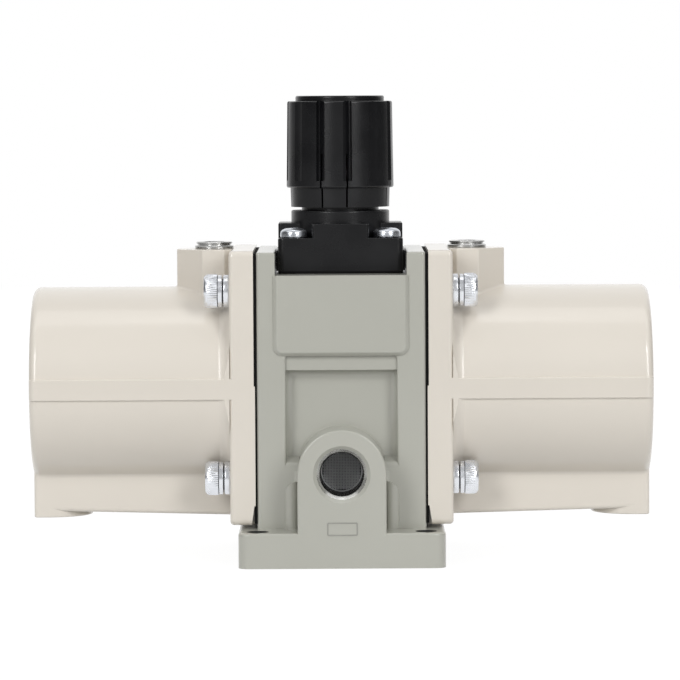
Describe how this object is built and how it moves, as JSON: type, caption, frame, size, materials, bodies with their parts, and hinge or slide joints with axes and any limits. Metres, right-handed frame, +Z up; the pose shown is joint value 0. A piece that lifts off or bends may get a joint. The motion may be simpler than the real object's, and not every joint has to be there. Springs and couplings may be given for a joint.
{
  "type": "pressure booster valve",
  "caption": "Air pressure booster: cast centre body on a base plate, two side cylinder covers with a double piston inside, and a governor with a push-lock knob on top.",
  "frame": {"origin": "on the surface it stands on, under the middle of the base plate", "axes": "+X along the two barrels to the right seen from the inlet port, -Y towards the inlet port, +Z up along the knob's axis"},
  "size_m": [0.1608, 0.076, 0.1203],
  "materials": {
    "casting_paint": "satin grey-green enamel over a sand-cast surface",
    "cover_paint": "satin warm off-white enamel over a cast surface",
    "gasket_rubber": "matt black sheet rubber",
    "black_plastic": "moulded black plastic, low sheen",
    "zinc_steel": "bright zinc plate",
    "plug_steel": "plain plated steel",
    "gauze_steel": "fine dark wire gauze",
    "bright_steel": "ground and hard chromed",
    "spring_steel": "oiled spring wire",
    "brass": "turned",
    "aluminium": "turned",
    "seal_rubber": "moulded nitrile",
    "cream_plastic": "moulded acetal"
  },
  "bodies": {
    "housing": {"body": "casting_paint", "bonnet": "black_plastic", "bonnet_screws": "zinc_steel", "diaphragm": "gasket_rubber", "governor_seat": "brass", "governor_seat_ring": "seal_rubber", "inlet_check_valves": "seal_rubber", "inlet_screen": "gauze_steel", "inlet_valve_seats": "cream_plastic", "left_cover": "cover_paint", "left_cover_screws": "zinc_steel", "left_gasket": "gasket_rubber", "left_gauge_plug": "plug_steel", "left_pusher_guide": "brass", "left_spring_washers": "zinc_steel", "outlet_check_valves": "seal_rubber", "outlet_valve_seats": "cream_plastic", "poppet_spring": "spring_steel", "right_cover": "cover_paint", "right_cover_screws": "zinc_steel", "right_gasket": "gasket_rubber", "right_gauge_plug": "plug_steel", "right_pusher_guide": "brass", "right_spring_washers": "zinc_steel", "rod_bush": "brass", "rod_seals": "seal_rubber", "seal_retainers": "zinc_steel", "sleeve_rings": "seal_rubber", "spool_sleeve": "aluminium"},
    "spindle": {"adjusting_screw": "bright_steel"},
    "knob": {"knob": "black_plastic", "knob_cap": "black_plastic"},
    "nut": {"setting_nut": "brass"},
    "governor": {"diaphragm_plate": "aluminium", "diaphragm_retainer": "aluminium", "governor_stem": "bright_steel", "governor_poppet": "seal_rubber", "setting_spring": "spring_steel"},
    "pistons": {"piston_rod": "bright_steel", "left_piston": "aluminium", "right_piston": "aluminium", "left_piston_seal": "seal_rubber", "right_piston_seal": "seal_rubber", "left_wear_ring": "cream_plastic", "right_wear_ring": "cream_plastic", "left_piston_nut": "zinc_steel", "right_piston_nut": "zinc_steel"},
    "spool": {"switching_spool": "bright_steel", "left_pusher": "bright_steel", "right_pusher": "bright_steel"}
  },
  "joints": [
    {"name": "pressure_adjust", "type": "hinge", "parent": "housing", "child": "spindle", "pos_m": [0, 0, 0.1], "axis": [0, 0, 1], "range_deg": [-2160, 0]},
    {"name": "knob_lock", "type": "slide", "parent": "spindle", "child": "knob", "axis": [0, 0, 1], "range_m": [-0.0008, 0]},
    {"name": "nut_travel", "type": "slide", "parent": "housing", "child": "nut", "axis": [0, 0, 1], "range_m": [-0.006, 0], "deforming": ["setting_spring"]},
    {"name": "governor_open", "type": "slide", "parent": "housing", "child": "governor", "axis": [0, 0, 1], "range_m": [-0.001, 0], "stiffness_N_per_m": 900, "springref_m": 0.002, "deforming": ["diaphragm", "poppet_spring", "setting_spring"]},
    {"name": "piston_stroke", "type": "slide", "parent": "housing", "child": "pistons", "axis": [1, 0, 0], "range_m": [-0.018, 0.018]},
    {"name": "spool_shift", "type": "slide", "parent": "housing", "child": "spool", "axis": [1, 0, 0], "range_m": [-0.002, 0.002]}
  ],
  "couplings": [
    {"joint": "nut_travel", "follows": "pressure_adjust", "m_per_rad": 0.00015915}
  ]
}
